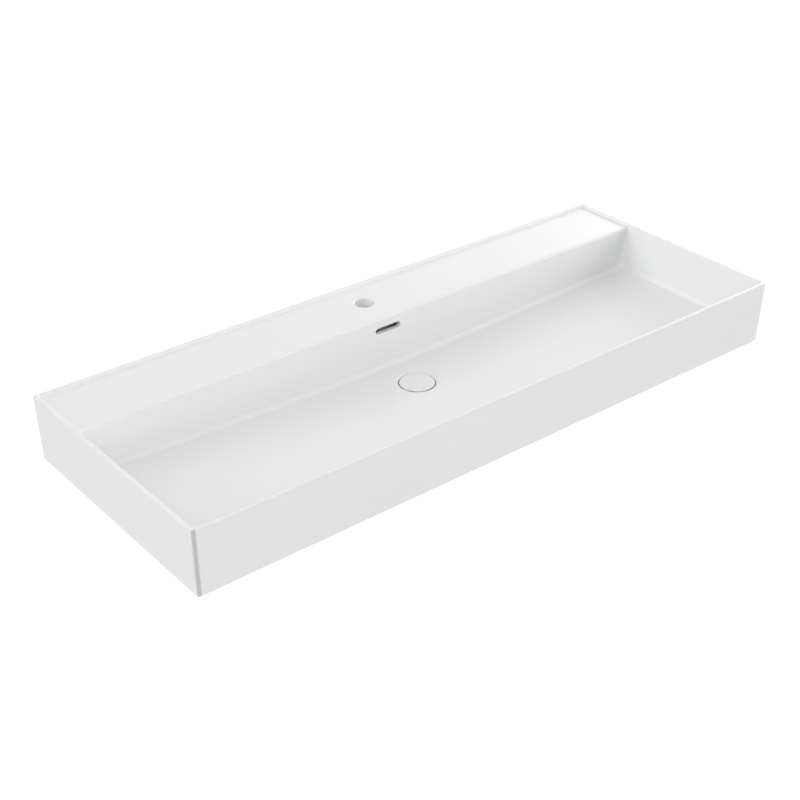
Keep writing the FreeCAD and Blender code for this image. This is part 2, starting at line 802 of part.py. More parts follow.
def cap_seal():
    inside = "(groove_diameter / 2 + seal_clearance)"
    outside = "(tube_bore / 2 - seal_gap)"
    low, high = plus(GROOVE_FOOT, "seal_clearance"), less(GROOVE_TOP, "seal_clearance")
    return turned("cap_seal", [
        (inside, low), (less(outside, "seal_bevel"), low), (outside, plus(low, "seal_bevel")),
        (outside, less(high, "seal_bevel")), (less(outside, "seal_bevel"), high), (inside, high)])


def plunger():
    """Stem and barrel; two slanting grooves in the barrel turn the index ring."""
    stem, barrel, hollow = "stem_diameter / 2", "barrel_diameter / 2", "barrel_hollow / 2"
    top = plus(STEM_SOCKET, "stem_grip", "-barrel_stop")
    head = less(BARREL_TOP, "barrel_head")
    body = new_body("plunger")
    revolve(body, "plunger_turning", [
        ("0", head), (hollow, head), (hollow, BARREL_FOOT), (barrel, BARREL_FOOT), (barrel, BARREL_TOP),
        (stem, BARREL_TOP), (stem, less(top, "stem_bevel")), (less(stem, "stem_bevel"), top), ("0", top)])
    low = less(PIN, "open_travel", "index_margin")
    deep, out = less(barrel, "index_groove"), plus(barrel, "index_groove")
    slot = outline(body, "XZ_Plane", "index_slot_section", [
        (deep, less(low, "index_slot / 2")), (out, less(low, "index_slot / 2")),
        (out, plus(low, "index_slot / 2")), (deep, plus(low, "index_slot / 2"))])
    before = body.Tip.Shape.Volume
    track = body.newObject("PartDesign::SubtractiveHelix", "index_track")
    track.Profile = slot
    track.ReferenceAxis = (slot, ["V_Axis"])
    track.Mode = 0
    track.setExpression("Pitch", expand("index_pitch"))
    track.setExpression("Height", expand("open_travel + press_travel + 2 * index_margin"))
    doc.recompute()
    pair = body.newObject("PartDesign::PolarPattern", "index_tracks")
    pair.Originals = [track]
    pair.Axis = (slot, ["V_Axis"])
    pair.Angle = 360
    pair.Occurrences = 2
    body.Tip = pair
    doc.recompute()
    if pair.Shape.Volume >= track.Shape.Volume or track.Shape.Volume >= before:
        raise RuntimeError("the index tracks cut nothing")
    return on_waste_axis(body)


def index_ring():
    """The ring that the slanting grooves turn; its two pins ride in them."""
    inside = "(barrel_diameter / 2 + ring_gap)"
    body = new_body("index_ring")
    revolve(body, "ring_turning", [
        (inside, RING_FOOT), ("lower_bore / 2 - ring_gap", RING_FOOT),
        ("lower_bore / 2 - ring_gap", RING_TOP), (inside, RING_TOP)])
    pins = circles(body, "XZ_Plane", "pin_section", [("0", PIN)], "pin_diameter")
    pad(body, "pins", pins, "lower_bore - 2 * ring_gap - pin_diameter", both_ways=True)
    middle = circles(body, "XY_Plane", "pin_tips", [("0", "0")],
                     "barrel_diameter - 2 * index_groove + 2 * pin_end_gap")
    pocket(body, "pin_gap", middle, less("overrun", "2 * " + RING_FOOT), both_ways=True)
    body.setExpression("Placement.Rotation.Angle",
                       expand("360deg * (open_travel + index_margin) / index_pitch - 90deg"))
    return on_waste_axis(body)


def cartridge_body():
    body = new_body("cartridge_body")
    collar = outline(body, "XY_Plane", "collar_hexagon", polygon(6, "collar_across_flats"), offset=HUB_TOP)
    pad(body, "collar", collar, "collar_height")
    outside = "cartridge_diameter / 2"
    revolve(body, "housing", [
        ("0", CARTRIDGE_FOOT), (outside, CARTRIDGE_FOOT), (outside, less(CARTRIDGE_TOP, "stem_bevel")),
        (less(outside, "stem_bevel"), CARTRIDGE_TOP), ("0", CARTRIDGE_TOP)])
    stem = "(stem_diameter / 2 + stem_gap)"
    guide = "(barrel_diameter / 2 + barrel_gap)"
    roof, shoulder = less(CARTRIDGE_TOP, "cartridge_top"), plus(RING_TOP, "ring_gap")
    low = less(CARTRIDGE_FOOT, "plug_base")
    groove(body, "housing_bore", [
        ("0", low), ("lower_bore / 2", low), ("lower_bore / 2", shoulder), (guide, shoulder),
        (guide, roof), (stem, roof), (stem, plus(CARTRIDGE_TOP, "plug_base")),
        ("0", plus(CARTRIDGE_TOP, "plug_base"))])
    return on_waste_axis(body)


def cartridge_plug():
    """Closes the cartridge, carries the spring and keeps the index ring up."""
    outside = "(lower_bore / 2 - thread_gap)"
    inside = less(outside, "plug_wall")
    top = less(RING_FOOT, "ring_gap")
    return turned("cartridge_plug", [
        ("0", CARTRIDGE_FOOT), (outside, CARTRIDGE_FOOT), (outside, top), (inside, top),
        (inside, PLUG_TOP), ("0", PLUG_TOP)])


def cartridge_spring():
    body = new_body("cartridge_spring")
    low = plus(PLUG_TOP, "spring_wire / 2", "spring_gap")
    high = less(BARREL_TOP, "barrel_head", "spring_wire / 2", "spring_gap")
    section = [("spring_diameter / 2 + " + x, plus(low, y)) for x, y in polygon(6, "spring_wire")]
    wire = outline(body, "XZ_Plane", "wire_section", section)
    coil = body.newObject("PartDesign::AdditiveHelix", "coil")
    coil.Profile = wire
    coil.ReferenceAxis = (wire, ["V_Axis"])
    coil.Mode = 0
    coil.setExpression("Pitch", expand("spring_pitch"))
    coil.setExpression("Height", expand(less(high, low)))
    doc.recompute()
    return on_waste_axis(body)


def waste_body():
    """Flange, threaded pipe with overflow windows, cross and hub, cast in one."""
    body = new_body("waste_body")
    bore = "tube_bore / 2"
    tail = less(FLANGE_FOOT, "tube_length")
    throat = less(FLANGE_TOP, "flange_fall")
    relief = less(NUT_FOOT, "relief_gap")
    relief_foot, relief_radius = less(relief, "relief_width"), less(PIPE, "relief_depth")
    revolve(body, "flange_and_pipe", [
        (bore, tail), (less(PIPE, "tube_bevel"), tail), (PIPE, plus(tail, "tube_bevel")),
        (PIPE, relief_foot), (relief_radius, relief_foot), (relief_radius, relief), (PIPE, relief),
        (PIPE, FLANGE_FOOT),
        ("flange_diameter / 2", FLANGE_FOOT), ("flange_diameter / 2", less(FLANGE_TOP, "flange_bevel")),
        ("flange_diameter / 2 - flange_bevel", FLANGE_TOP), (plus(bore, "throat_chamfer"), throat),
        (bore, less(throat, "throat_chamfer"))])
    hub_foot = less(HUB_TOP, "hub_height")
    hub = circles(body, "XY_Plane", "hub_circle", [("0", "0")], "hub_diameter", offset=hub_foot)
    pad(body, "hub", hub, "hub_height")
    reach, half = "((" + PIPE + " + " + bore + ") / 2)", "arm_width / 2"
    for name, long, wide in (("arms_across", reach, half), ("arms_along", half, reach)):
        arm = outline(body, "XY_Plane", name + "_section", [
            (minus(long), minus(wide)), (long, minus(wide)), (long, wide), (minus(long), wide)],
            offset=hub_foot)
        pad(body, name, arm, "hub_height")
    middle = circles(body, "XY_Plane", "hub_bore_circle", [("0", "0")],
                     "cartridge_diameter + 2 * thread_gap", offset=less(hub_foot, "overrun / 2"))
    pocket(body, "hub_bore", middle, "hub_height + overrun", reverse=True)
    high = "(window_lead - " + RECESS + " - channel_roof)"
    low = less(high, "window_height")
    for plane in ("XZ_Plane", "YZ_Plane"):
        window = outline(body, plane, "window_" + plane, [
            ("-window_width / 2", low), ("window_width / 2", low), ("window_width / 2", high),
            ("-window_width / 2", high)])
        pocket(body, "windows_" + plane, window, "outlet_diameter + overrun", both_ways=True)
    return on_waste_axis(body)


def flange_gasket():
    inside = plus(PIPE, "pipe_gap")
    low = less(FLANGE_FOOT, "gasket")
    return turned("flange_gasket", [
        (inside, low), ("gasket_diameter / 2", low), ("gasket_diameter / 2", FLANGE_FOOT),
        (inside, FLANGE_FOOT)])


def lower_gasket():
    inside = plus(PIPE, "pipe_gap")
    spigot = "(waste_hole / 2 - pipe_gap)"
    outside = "(lower_gasket_diameter / 2)"
    high, low = plus(SEAT_UNDER, "lower_gasket_spigot"), less(SEAT_UNDER, "lower_gasket")
    return turned("lower_gasket", [
        (inside, low), (less(outside, "rubber_bevel"), low), (outside, plus(low, "rubber_bevel")),
        (outside, SEAT_UNDER), (spigot, SEAT_UNDER), (spigot, high), (inside, high)])


def slip_washer():
    inside = plus(PIPE, "pipe_gap")
    high = less(SEAT_UNDER, "lower_gasket")
    low = less(high, "washer")
    return turned("slip_washer", [
        (inside, low), ("washer_diameter / 2", low), ("washer_diameter / 2", high), (inside, high)])


def backnut():
    body = new_body("backnut")
    flats = outline(body, "XY_Plane", "nut_octagon", polygon(8, "nut_across_flats"), offset=NUT_FOOT)
    pad(body, "nut_pad", flats, "nut_height")
    hole = circles(body, "XY_Plane", "nut_hole", [("0", "0")], "outlet_diameter + 2 * thread_gap",
                   offset=less(NUT_FOOT, "overrun / 2"))
    pocket(body, "nut_bore", hole, "nut_height + overrun", reverse=True)
    base = body.Tip
    rim = ["Edge%d" % number for number, edge in enumerate(base.Shape.Edges, start=1)
           if edge.Curve.TypeId == "Part::GeomLine" and not upright(edge)]
    chamfer = body.newObject("PartDesign::Chamfer", "nut_edges")
    chamfer.Base = (base, rim)
    chamfer.setExpression("Size", expand("nut_chamfer"))
    doc.recompute()
    return on_waste_axis(body)


def check(item):
    """Stop at an object that failed or has no proper shape."""
    if "Invalid" in item.State or "Error" in item.State:
        raise RuntimeError(item.Name + " failed")
    if item.TypeId.startswith("Part") and hasattr(item, "Shape"):
        if item.Shape.isNull() or not item.Shape.isValid():
            raise RuntimeError(item.Name + " has no proper shape")


nodes = [basin(), waste_cap(), cap_dish(), cap_seal(), plunger(), index_ring(), cartridge_body(),
         cartridge_plug(), cartridge_spring(), waste_body(), flange_gasket(), lower_gasket(),
         slip_washer(), backnut()]
doc.recompute()
for item in doc.Objects:
    check(item)

os.makedirs("parts", exist_ok=True)
for node in nodes:
    node.Shape.exportStep("parts/" + node.Label + ".step")
    print("%-17s %d solid, %.1f cm3" % (node.Label, len(node.Shape.Solids), node.Shape.Volume / 1000))
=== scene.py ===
import math

import bmesh
import bpy
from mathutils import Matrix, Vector


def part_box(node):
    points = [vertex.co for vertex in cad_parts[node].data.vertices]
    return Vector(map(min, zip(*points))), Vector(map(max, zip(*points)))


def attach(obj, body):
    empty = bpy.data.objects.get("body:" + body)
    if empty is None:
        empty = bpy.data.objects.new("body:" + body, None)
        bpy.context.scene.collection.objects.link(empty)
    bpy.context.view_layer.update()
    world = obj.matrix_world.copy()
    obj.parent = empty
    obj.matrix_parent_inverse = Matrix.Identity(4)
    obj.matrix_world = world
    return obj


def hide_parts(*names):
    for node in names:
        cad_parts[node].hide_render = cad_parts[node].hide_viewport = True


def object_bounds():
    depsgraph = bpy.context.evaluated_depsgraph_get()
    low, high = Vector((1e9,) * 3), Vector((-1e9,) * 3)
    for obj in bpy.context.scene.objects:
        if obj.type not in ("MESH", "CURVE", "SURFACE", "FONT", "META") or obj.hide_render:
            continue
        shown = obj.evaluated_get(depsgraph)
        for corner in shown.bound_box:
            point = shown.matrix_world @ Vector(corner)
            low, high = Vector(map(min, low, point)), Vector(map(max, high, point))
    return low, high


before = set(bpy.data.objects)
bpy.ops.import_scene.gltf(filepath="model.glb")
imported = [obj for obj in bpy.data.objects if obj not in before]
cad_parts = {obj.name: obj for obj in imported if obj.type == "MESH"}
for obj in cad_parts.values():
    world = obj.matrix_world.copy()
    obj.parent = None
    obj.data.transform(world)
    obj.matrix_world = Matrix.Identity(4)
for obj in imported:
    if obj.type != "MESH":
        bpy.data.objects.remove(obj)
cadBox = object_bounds()
print("frame loaded:", len(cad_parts), "nodes")


# camera at the photograph's viewpoint
view = {
    "place": (-1.3876, -1.8774, 1.2088),
    "turn": 38.98,  # degrees from the wall's direction towards the right
    "tilt": 30.683,  # degrees below level
    "focalShare": 1466.0 / 800,  # focal length as a share of the picture's width
    "sensor": 36.0,
    "farthest": 50.0,
}


def setCamera():
    lens = bpy.data.cameras.new("photoCamera")
    lens.sensor_width = view["sensor"]
    lens.lens = view["sensor"] * view["focalShare"]
    lens.clip_end = view["farthest"]
    camera = bpy.data.objects.new("photoCamera", lens)
    camera.location = view["place"]
    camera.rotation_euler = (math.radians(90.0 - view["tilt"]), 0.0, math.radians(-view["turn"]))
    bpy.context.scene.collection.objects.link(camera)
    bpy.context.scene.camera = camera


class Signal:
    # an output socket whose sums and products add Math nodes

    def __init__(self, finish, socket):
        self.finish = finish
        self.socket = socket

    def reckon(self, operation, first, second=0.0):
        return self.finish.node("Math", {"operation": operation}, {0: first, 1: second})

    def __add__(self, other):
        return self.reckon("ADD", self, other)

    def __radd__(self, other):
        return self.reckon("ADD", other, self)

    def __sub__(self, other):
        return self.reckon("SUBTRACT", self, other)

    def __rsub__(self, other):
        return self.reckon("SUBTRACT", other, self)

    def __mul__(self, other):
        return self.reckon("MULTIPLY", self, other)

    def __rmul__(self, other):
        return self.reckon("MULTIPLY", other, self)

    def __abs__(self):
        return self.reckon("ABSOLUTE", self)

    def most(self, other):
        return self.reckon("MAXIMUM", self, other)

    def sine(self):
        return self.reckon("SINE", self)


class Finish:
    # one material; node() adds any node and varying() feeds its shader

    def __init__(self, name, steady):
        self.material = bpy.data.materials.new(name)
        self.material.use_nodes = True
        self.tree = self.material.node_tree
        self.shader = self.tree.nodes["Principled BSDF"]
        for socket, value in steady.items():
            self.shader.inputs[socket].default_value = value
        self.place = self.node("TexCoord", {}, {}, "Object")

    def node(self, kind, settings, sockets, output=0):
        made = self.tree.nodes.new("ShaderNode" + kind)
        for key, setting in settings.items():
            setattr(made, key, setting)
        for key, given in sockets.items():
            if isinstance(given, Signal):
                self.tree.links.new(given.socket, made.inputs[key])
            else:
                made.inputs[key].default_value = given
        return Signal(self, made.outputs[output])

    def varying(self, socket, signal):
        self.tree.links.new(signal.socket, self.shader.inputs[socket])

    def stretched(self, scale):
        return self.node("Mapping", {}, {"Vector": self.place, "Scale": scale})

    def noise(self, scale, detail=2.0, place=None):
        return self.node("TexNoise", {}, {"Vector": place or self.place, "Scale": scale, "Detail": detail})

    def cells(self, scale):
        # distance from the middle of the nearest of many scattered spots
        return self.node("TexVoronoi", {}, {"Vector": self.place, "Scale": scale})

    def ramp(self, signal, low, high):
        # 0 at low and 1 at high, smooth between
        return self.node("MapRange", {"interpolation_type": "SMOOTHSTEP"},
                         {"Value": signal, "From Min": low, "From Max": high})

    def blend(self, share, first, second):
        # 6, 7 and output 2 are the colour sockets of a Mix node
        return self.node("Mix", {"data_type": "RGBA"}, {"Factor": share, 6: first, 7: second}, 2)

    def axis(self, name):
        return self.node("SeparateXYZ", {}, {"Vector": self.place}, name)

    def turning(self, pitch):
        # marks left by a lathe about the upright axis of the waste, on flat and round faces alike
        level = {"Vector": self.place, "Location": (0.0, wasteAxis, 0.0), "Scale": (1.0, 1.0, 0.0)}
        fromAxis = self.node("Mapping", {}, level)
        radius = self.node("VectorMath", {"operation": "LENGTH"}, {0: fromAxis}, 1)
        return ((radius + self.axis("Z")) * (2 * math.pi / pitch)).sine()

    def bump(self, height, strength, distance, under=None):
        sockets = {"Height": height, "Strength": strength, "Distance": distance}
        if under:
            sockets["Normal"] = under
        return self.node("Bump", {}, sockets)


capLow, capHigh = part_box("waste_cap")
wasteAxis = -(capLow[1] + capHigh[1]) / 2  # how far the waste stands in front of the wall

glaze = {
    "colour": (0.84, 0.84, 0.838, 1.0),
    "pool": (0.825, 0.829, 0.832, 1.0),  # where the glaze lies thicker
    "edge": (0.56, 0.56, 0.56, 1.0),  # painted shade: a grey stripe down the front corner on the left, standing in for the dark reflection that the rounded corner shows
    "lean": 0.0288,  # how far the outer walls lean in for each metre down
    "paintedShadeStripe": (0.0018, 0.0065),  # from the full stripe to none, measured in from the corner
    "paintedShadeShift": 0.0019,  # and how much further it reaches along the front
    "bisque": (0.70, 0.665, 0.60, 1.0),  # bare fired body at the foot and the back
    "roughness": 0.32,
    "waver": 0.06,  # how much roughness and coat change over the surface
    "waverScale": 9.6,
    "bisqueRoughness": 0.85,
    "channel": (0.20, 0.19, 0.175, 1.0),  # bare body inside the overflow, painted dark as the shade in that recess
    "channelHalf": 0.027,  # half its width
    "channelFront": -0.1220,  # and between these two from front to back
    "channelBack": -0.1125,
    "channelTop": 0.040,
    "coat": 0.35,
    "coatRoughness": 0.12,
    "refraction": 1.5,
    "bare": 0.0012,  # how far the bare body reaches up from the foot and out from the wall
    "fade": 0.0016,  # width of the seam between glaze and bare body
    "cloudScale": 2.4,
    "cloudEdges": (0.35, 0.7),
    "peelScale": 85.0,
    "peelDepth": 0.001,
    "peelStrength": 0.018,
    "grainScale": 900.0,
    "grainDepth": 0.0006,
    "grainStrength": 0.25,
}


def glazeFinish(name, bare):
    finish = Finish(name, {"IOR": glaze["refraction"], "Coat IOR": glaze["refraction"],
                           "Coat Roughness": glaze["coatRoughness"]})
    cloud = finish.ramp(finish.noise(glaze["cloudScale"], detail=3.0), *glaze["cloudEdges"])
    colour = finish.blend(cloud, glaze["colour"], glaze["pool"])
    waver = finish.noise(glaze["waverScale"], detail=3.0) - 0.5
    rough = glaze["roughness"] + waver * glaze["waver"]
    coat = glaze["coat"] + waver * glaze["waver"]
    normal = finish.bump(finish.noise(glaze["peelScale"]), glaze["peelStrength"], glaze["peelDepth"])
    if bare:
        low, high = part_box("basin")
        across, deep, up = finish.axis("X"), finish.axis("Y"), finish.axis("Z")
        seam = glaze["fade"] / 2
        foot, back = low[2] + glaze["bare"], high[1] - glaze["bare"]
        raw = finish.ramp(up, foot + seam, foot - seam).most(finish.ramp(deep, back - seam, back + seam))
        # painted shade: the grey stripe down the front corner on the left, in place of the dark reflection
        # the rounded corner shows there
        lean = (high[2] - up) * glaze["lean"]
        along = across - low[0] - lean - glaze["paintedShadeShift"]
        inward = along.most(deep - low[1] - lean + glaze["paintedShadeShift"])
        corner = 1 - finish.ramp(inward, *glaze["paintedShadeStripe"])
        colour = finish.blend(corner, colour, glaze["edge"])
        # painted shade: the bare body inside the overflow channel, darkened far below its own colour for
        # the shade in the recess
        shadedChannel = finish.ramp(deep, glaze["channelFront"] - seam, glaze["channelFront"])
        shadedChannel = shadedChannel * finish.ramp(abs(across), glaze["channelHalf"] + seam, glaze["channelHalf"])
        shadedChannel = shadedChannel * finish.ramp(up, glaze["channelTop"] + seam, glaze["channelTop"])
        shadedChannel = shadedChannel * finish.ramp(deep, glaze["channelBack"] + seam, glaze["channelBack"])
        colour = finish.blend(shadedChannel, colour, glaze["channel"])
        colour = finish.blend(raw, colour, glaze["bisque"])
        rough = rough + raw * (glaze["bisqueRoughness"] - glaze["roughness"])
        coat = coat * (1 - raw)
        grain = finish.noise(glaze["grainScale"], detail=1.0)
        normal = finish.bump(grain * raw, glaze["grainStrength"], glaze["grainDepth"], normal)
    finish.varying("Base Color", colour)
    finish.varying("Roughness", rough)
    finish.varying("Coat Weight", coat)
    finish.varying("Normal", normal)
    return finish.material


chrome = {
    "colour": (0.66, 0.67, 0.68, 1.0),
    "filmed": (0.50, 0.51, 0.52, 1.0),  # under the thin film that water leaves
    "roughness": 0.06,
    "filmRoughness": 0.12,
    "dropRoughness": 0.10,
    "filmScale": 42.0,
    "filmEdges": (0.45, 0.75),
    "dropScale": 160.0,  # dried drops to the metre
    "dropInside": (0.20, 0.26),  # the ring of a drop, from none to full
    "dropOutside": (0.34, 0.28),
    "polishPitch": 0.0004,
    "polishDepth": 0.00002,
    "polishStrength": 0.12,
}


def chromeFinish():
    finish = Finish("chrome", {"Metallic": 1.0})
    film = finish.ramp(finish.noise(chrome["filmScale"], detail=4.0), *chrome["filmEdges"])
    drop = finish.cells(chrome["dropScale"])
    ring = finish.ramp(drop, *chrome["dropInside"]) * finish.ramp(drop, *chrome["dropOutside"])
    rough = chrome["roughness"] + film * chrome["filmRoughness"] + ring * chrome["dropRoughness"]
    polish = finish.turning(chrome["polishPitch"])
    finish.varying("Base Color", finish.blend(film, chrome["colour"], chrome["filmed"]))
    finish.varying("Roughness", rough)
    finish.varying("Normal", finish.bump(polish, chrome["polishStrength"], chrome["polishDepth"]))
    return finish.material


rubber = {
    "colour": (0.018, 0.018, 0.019, 1.0),
    "bloom": (0.062, 0.061, 0.060, 1.0),  # the pale film that rubber sweats out
    "roughness": 0.62,
    "bloomRoughness": 0.22,
    "bloomScale": 70.0,
    "bloomEdges": (0.42, 0.72),
    "grainScale": 2600.0,
    "grainDepth": 0.00006,
    "grainStrength": 0.5,
    "refraction": 1.48,
    "specular": 0.35,
}


def rubberFinish():
    finish = Finish("sealRubber", {"IOR": rubber["refraction"], "Specular IOR Level": rubber["specular"]})
    bloom = finish.ramp(finish.noise(rubber["bloomScale"], detail=5.0), *rubber["bloomEdges"])
    grain = finish.noise(rubber["grainScale"], detail=3.0)
    finish.varying("Base Color", finish.blend(bloom, rubber["colour"], rubber["bloom"]))
    finish.varying("Roughness", rubber["roughness"] + bloom * rubber["bloomRoughness"])
    finish.varying("Normal", finish.bump(grain, rubber["grainStrength"], rubber["grainDepth"]))
    return finish.material


plastic = {
    "flow": (9.0, 9.0, 60.0),  # how the flow lines of moulding are stretched
    "flowScale": 6.0,
    "flowEdges": (0.35, 0.7),
    "grainScale": 1800.0,
    "grainDepth": 0.00003,
    "grainStrength": 0.3,
    "waver": 0.12,
    "refraction": 1.48,
    "scatter": 0.12,
    "scatterDepth": 0.002,
    # pale, deep, roughness
    "acetal": ((0.80, 0.79, 0.75, 1.0), (0.72, 0.71, 0.66, 1.0), 0.36),
    "washerPlastic": ((0.84, 0.86, 0.86, 1.0), (0.76, 0.79, 0.80, 1.0), 0.42),
}


def plasticFinish(name):
    pale, deep, roughness = plastic[name]
    finish = Finish(name, {"IOR": plastic["refraction"], "Subsurface Weight": plastic["scatter"],
                           "Subsurface Scale": plastic["scatterDepth"]})
    flow = finish.noise(plastic["flowScale"], detail=4.0, place=finish.stretched(plastic["flow"]))
    grain = finish.noise(plastic["grainScale"])
    finish.varying("Base Color", finish.blend(finish.ramp(flow, *plastic["flowEdges"]), pale, deep))
    finish.varying("Roughness", roughness + (flow - 0.5) * plastic["waver"])
    finish.varying("Normal", finish.bump(grain, plastic["grainStrength"], plastic["grainDepth"]))
    return finish.material


metal = {
    "stainScale": 55.0,
    "stainEdges": (0.42, 0.75),
    "stainRoughness": 0.2,
    "pitScale": 440.0,
    "pitShare": 0.5,  # of the tool marks' height
    "toolPitch": 0.00032,
    "toolDepth": 0.00005,
    # bright, stained, roughness, strength of the tool marks
    "brass": ((0.80, 0.60, 0.29, 1.0), (0.50, 0.33, 0.15, 1.0), 0.22, 0.35),
    "springSteel": ((0.56, 0.55, 0.54, 1.0), (0.34, 0.31, 0.28, 1.0), 0.26, 0.15),
}


def metalFinish(name):
    bright, stained, roughness, toolMarks = metal[name]
    finish = Finish(name, {"Metallic": 1.0})
    stain = finish.ramp(finish.noise(metal["stainScale"], detail=5.0), *metal["stainEdges"])
    finish.varying("Base Color", finish.blend(stain, bright, stained))
    finish.varying("Roughness", roughness + stain * metal["stainRoughness"])
    marks = finish.turning(metal["toolPitch"]) + finish.noise(metal["pitScale"]) * metal["pitShare"]
    finish.varying("Normal", finish.bump(marks, toolMarks, metal["toolDepth"]))
    return finish.material


def dress(material, *nodes):
    for node in nodes:
        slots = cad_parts[node].data.materials
        slots.clear()
        slots.append(material)


chromed = chromeFinish()
sealing = rubberFinish()
acetal = plasticFinish("acetal")
polythene = plasticFinish("washerPlastic")
brass = metalFinish("brass")
springSteel = metalFinish("springSteel")
dress(glazeFinish("basinGlaze", True), "basin")
dress(glazeFinish("capGlaze", False), "waste_cap")
dress(chromed, "cap_dish", "waste_body")
dress(sealing, "cap_seal", "flange_gasket", "lower_gasket")
dress(acetal, "plunger", "index_ring")
dress(polythene, "slip_washer")
dress(brass, "cartridge_body", "cartridge_plug", "backnut")
dress(springSteel, "cartridge_spring")
print("finishes made")


join = {
    "close": 0.000002,  # corners nearer than this are one
    "sharp": 30.0,  # degrees between faces, from where an edge is sharp
}


def copied(node, name):
    # without the normals stored in it, which don't fit a changed form
    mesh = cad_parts[node].data.copy()
    normals = mesh.attributes.get("custom_normal")
    if normals:
        mesh.attributes.remove(normals)
    piece = bpy.data.objects.new(name, mesh)
    bpy.context.scene.collection.objects.link(piece)
    form = bmesh.new()
    form.from_mesh(mesh)
    bmesh.ops.remove_doubles(form, verts=form.verts, dist=join["close"])
    return piece, form


def seated(piece, form, node):
    for face in form.faces:
        face.smooth = True
    form.to_mesh(piece.data)
    form.free()
    piece.data.set_sharp_from_angle(angle=math.radians(join["sharp"]))
    even = piece.modifiers.new("evenNormals", "WEIGHTED_NORMAL")
    even.keep_sharp = True
    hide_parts(node)
    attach(piece, "basin_and_waste")


# the basin with end walls, valley and back cove as the photograph has them
bowl = {
    "rim": 0.0033,  # from the outer face to the middle of a side rim
    "front": -0.4572,  # middle of the front rim
    "deckFront": -0.1288,  # middle of the edge between deck and bowl
    "deckTop": 0.0515,
    "deckMargin": 0.002,  # what lies this little under the deck still belongs to its cove
    "valley": -0.042,  # where the two halves of the floor would meet
    "fall": math.tan(math.radians(1.95)),
    "solidRound": 0.6,  # radius of the valley in the solid
    "round": 7.35,  # and here
    "lip": 0.002,  # nothing further under the floor moves
    "foot": 0.009,  # up to this height a wall follows the floor all the way
    "endLean": 0.016,  # how much further in the foot of each end wall stands
    "endFrom": 0.30,  # where the floor starts to follow the end walls
    "endTo": 0.56,  # where it follows them all the way
    "cuts": 10,  # across each half of the valley
    "coveTop": -0.0032,  # where the back rim starts to fall to the deck
    "coveFoot": -0.009975,  # just past where the solid reaches the deck
    "coveStretch": 1.5,
}


def floorLine(reach, radius):
    # height of a floor that falls from both ends to a valley of this radius, with its lowest line kept
    rise = (1 + bowl["fall"] ** 2) ** 0.5 - 1
    if reach < radius * bowl["fall"]:
        return bowl["valley"] + bowl["solidRound"] * rise + reach ** 2 / (2 * radius)
    return bowl["valley"] + (bowl["solidRound"] - radius) * rise + reach * bowl["fall"]


def inBowl(spot):
    over = spot.z > floorLine(abs(spot.x), bowl["solidRound"]) - bowl["lip"]
    back = bowl["coveTop"] if spot.z > bowl["deckTop"] else bowl["deckFront"]
    return over and bowl["front"] < spot.y < back and abs(spot.x) < cadBox[1][0] - bowl["rim"]


def portion(value, first, last):
    # 0 up to first and 1 from last on
    return min(1.0, max(0.0, (value - first) / (last - first)))


def reshaped(spot):
    reach = abs(spot.x)
    rimTop = cadBox[1][2]
    floor = floorLine(reach, bowl["solidRound"])
    if spot.z < floor:
        nearFloor = 1 - (floor - spot.z) / bowl["lip"]
    else:
        nearFloor = portion(spot.z, bowl["deckTop"], floor + bowl["foot"])
    follow = portion(reach, bowl["endFrom"], bowl["endTo"])
    endFloor = bowl["valley"] + bowl["endTo"] * bowl["fall"]
    inward = bowl["endLean"] * follow * (rimTop - spot.z) / (rimTop - endFloor)
    lower = nearFloor * (floor - floorLine(reach, bowl["round"]) + inward * bowl["fall"])
    deep = spot.y
    if spot.z > bowl["deckTop"] - bowl["deckMargin"] and bowl["coveFoot"] < deep < bowl["coveTop"]:
        deep = bowl["coveTop"] + (deep - bowl["coveTop"]) * bowl["coveStretch"]
    return Vector((math.copysign(reach - inward, spot.x), deep, spot.z - lower))


def cutAcross(form, place):
    # more corners across the floor, so that it can be bent
    inner = {face for face in form.faces if all(inBowl(corner.co) for corner in face.verts)}
    edges = {edge for face in inner for edge in face.edges}
    corners = {corner for face in inner for corner in face.verts}
    parts = list(inner | edges | corners)
    bmesh.ops.bisect_plane(form, geom=parts, plane_co=(place, 0, 0), plane_no=(1, 0, 0))


def photographedBasin():
    piece, form = copied("basin", "photographedBasin")
    gap = bowl["round"] * bowl["fall"] / bowl["cuts"]
    for step in range(-bowl["cuts"], bowl["cuts"] + 1):
        if step:
            cutAcross(form, step * gap)
    moved = 0
    for corner in form.verts:
        if inBowl(corner.co):
            corner.co = reshaped(corner.co)
            moved += 1
    print("basin:", moved, "of", len(form.verts), "corners moved")
    seated(piece, form, "basin")


# thread of the waste pipe's tail, in place of the plain pipe
thread = {
    "pitch": 0.002309,
    "depth": 0.00135,
    "rowsPerTurn": 10,
    "close": 0.00002,  # how exactly a corner has to lie on the wall
    "relief": 0.0273,  # height of the relief groove's foot over the tail
    "bevel": 0.0008,  # and of the tail's own bevel
}


